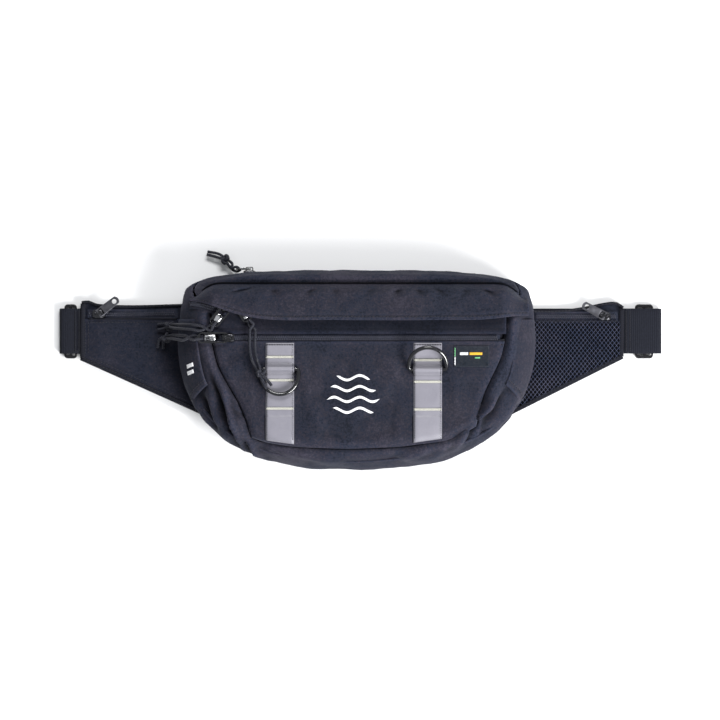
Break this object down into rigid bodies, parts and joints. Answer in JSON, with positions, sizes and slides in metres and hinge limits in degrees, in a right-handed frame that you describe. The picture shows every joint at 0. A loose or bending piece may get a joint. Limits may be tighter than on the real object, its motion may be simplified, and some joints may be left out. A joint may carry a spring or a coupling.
{
  "type": "waist pack",
  "caption": "Soft waist pack with zipped main, front and wing pockets, storm flap, corded zip pulls, reflective straps with D-rings and a side-release webbing belt.",
  "frame": {"origin": "centre of the bounding box's base, measured without the pull cords; the pack lies on its back", "axes": "+Z out of the front face, +Y towards the top of the pack as worn, +X along the belt to the right of the front view"},
  "size_m": [0.5052, 0.1819, 0.0668],
  "materials": {
    "shell_cloth": "matte",
    "mesh_cloth": "matte",
    "webbing_cloth": "matte",
    "reflective_tape": "satin",
    "zip_nylon": "satin",
    "dark_metal": "polished, black nickel plated",
    "cord_nylon": "matte",
    "acetal": "satin",
    "label_cloth": "matte"
  },
  "bodies": {
    "pack": {"bag_shell": "shell_cloth", "front_pocket_panel": "shell_cloth", "side_tab_left": "shell_cloth", "side_tab_right": "shell_cloth", "wing_left_back": "shell_cloth", "wing_left_front": "shell_cloth", "wing_right_back": "shell_cloth", "back_pad": "mesh_cloth", "wing_right_front": "mesh_cloth", "belt_left": "webbing_cloth", "belt_right": "webbing_cloth", "webbing_left_end": "webbing_cloth", "webbing_right_end": "webbing_cloth", "strap_left": "reflective_tape", "strap_right": "reflective_tape", "front_zip_tape": "zip_nylon", "front_zip_coil": "zip_nylon", "main_zip_tape": "zip_nylon", "main_zip_coil": "zip_nylon", "rear_zip_tape": "zip_nylon", "rear_zip_coil": "zip_nylon", "wing_left_zip_tape": "zip_nylon", "wing_left_zip_coil": "zip_nylon", "wing_right_zip_tape": "zip_nylon", "wing_right_zip_coil": "zip_nylon", "triglide_left": "acetal", "triglide_right": "acetal", "buckle_housing": "acetal", "woven_label": "label_cloth"},
    "lid": {"top_lid": "shell_cloth"},
    "flap": {"storm_flap": "shell_cloth"},
    "ring_left": {"d_ring_left": "dark_metal"},
    "ring_right": {"d_ring_right": "dark_metal"},
    "buckle_male": {"buckle_stem": "acetal", "belt_left_adjuster": "webbing_cloth"},
    "arm_upper": {"buckle_arm_upper": "acetal"},
    "arm_lower": {"buckle_arm_lower": "acetal"},
    "zip_main_left": {"slider_main_left": "dark_metal"},
    "tug_main_left": {"pull_main_left": "dark_metal", "cord_main_left": "cord_nylon"},
    "zip_main_right": {"slider_main_right": "dark_metal"},
    "tug_main_right": {"pull_main_right": "dark_metal", "cord_main_right": "cord_nylon"},
    "zip_front": {"slider_front": "dark_metal"},
    "tug_front": {"pull_front": "dark_metal", "cord_front": "cord_nylon"},
    "zip_rear": {"slider_rear": "dark_metal"},
    "tug_rear": {"pull_rear": "dark_metal", "cord_rear": "cord_nylon"},
    "zip_wing_left": {"slider_wing_left": "dark_metal"},
    "tug_wing_left": {"pull_wing_left": "dark_metal"},
    "zip_wing_right": {"slider_wing_right": "dark_metal"},
    "tug_wing_right": {"pull_wing_right": "dark_metal"}
  },
  "joints": [
    {"name": "lid_open", "type": "hinge", "parent": "pack", "child": "lid", "pos_m": [-0.0034, 0.0778, 0.02], "axis": [-1, 0, 0], "range_deg": [0, 70]},
    {"name": "flap_lift", "type": "hinge", "parent": "lid", "child": "flap", "pos_m": [-0.0015, 0.0694, 0.0483], "axis": [-1, 0, 0], "range_deg": [0, 75]},
    {"name": "main_left_slide", "type": "slide", "parent": "pack", "child": "zip_main_left", "axis": [1, 0, 0], "range_m": [0, 0.1]},
    {"name": "main_right_slide", "type": "slide", "parent": "zip_main_left", "child": "zip_main_right", "axis": [1, 0, 0], "range_m": [0, 0.1]},
    {"name": "front_slide", "type": "slide", "parent": "pack", "child": "zip_front", "axis": [1, 0, 0], "range_m": [0, 0.214], "deforming": ["cord_main_right"]},
    {"name": "rear_slide", "type": "slide", "parent": "pack", "child": "zip_rear", "axis": [1, 0, 0], "range_m": [0, 0.18]},
    {"name": "wing_left_slide", "type": "slide", "parent": "pack", "child": "zip_wing_left", "axis": [1, 0, 0], "range_m": [0, 0.048]},
    {"name": "wing_right_slide", "type": "slide", "parent": "pack", "child": "zip_wing_right", "axis": [-1, 0, 0], "range_m": [0, 0.038]},
    {"name": "pull_main_left_swing", "type": "hinge", "parent": "zip_main_left", "child": "tug_main_left", "pos_m": [-0.111, 0.0502, 0.056], "axis": [-0.766, 0.6428, 0], "range_deg": [0, 30], "deforming": ["cord_main_left"]},
    {"name": "pull_main_right_swing", "type": "hinge", "parent": "zip_main_right", "child": "tug_main_right", "pos_m": [-0.0996, 0.0502, 0.056], "axis": [-0.848, -0.5299, 0], "range_deg": [0, 12], "deforming": ["cord_main_right"]},
    {"name": "pull_front_swing", "type": "hinge", "parent": "zip_front", "child": "tug_front", "pos_m": [-0.11, 0.0252, 0.056], "axis": [0, 1, 0], "range_deg": [0, 110], "deforming": ["cord_front"]},
    {"name": "pull_rear_swing", "type": "hinge", "parent": "zip_rear", "child": "tug_rear", "pos_m": [-0.093, 0.0829, 0.0144], "axis": [0.5, 0, -0.866], "range_deg": [0, 80], "deforming": ["cord_rear"]},
    {"name": "pull_wing_left_swing", "type": "hinge", "parent": "zip_wing_left", "child": "tug_wing_left", "pos_m": [-0.2196, 0.0455, 0.0108], "axis": [0.6157, -0.788, 0], "range_deg": [0, 100]},
    {"name": "pull_wing_right_swing", "type": "hinge", "parent": "zip_wing_right", "child": "tug_wing_right", "pos_m": [0.2046, 0.0435, 0.0108], "axis": [0.4695, 0.8829, 0], "range_deg": [0, 100]},
    {"name": "d_ring_left_swing", "type": "hinge", "parent": "pack", "child": "ring_left", "pos_m": [-0.067, -0.0004, 0.0544], "axis": [-1, 0, 0], "range_deg": [0, 166], "deforming": ["cord_main_right"]},
    {"name": "d_ring_right_swing", "type": "hinge", "parent": "pack", "child": "ring_right", "pos_m": [0.0559, -0.0016, 0.0544], "axis": [1, 0, 0], "range_deg": [-22, 142]},
    {"name": "buckle_clip", "type": "slide", "parent": "pack", "child": "buckle_male", "axis": [1, 0, 0], "range_m": [0, 0.035]},
    {"name": "arm_upper_squeeze", "type": "hinge", "parent": "buckle_male", "child": "arm_upper", "pos_m": [-0.0285, 0.0392, 0.0044], "axis": [0, 0, -1], "range_deg": [0, 6], "stiffness_Nm_per_rad": 0.3},
    {"name": "arm_lower_squeeze", "type": "hinge", "parent": "buckle_male", "child": "arm_lower", "pos_m": [-0.0285, 0.0228, 0.0044], "axis": [0, 0, 1], "range_deg": [0, 6], "stiffness_Nm_per_rad": 0.3}
  ]
}
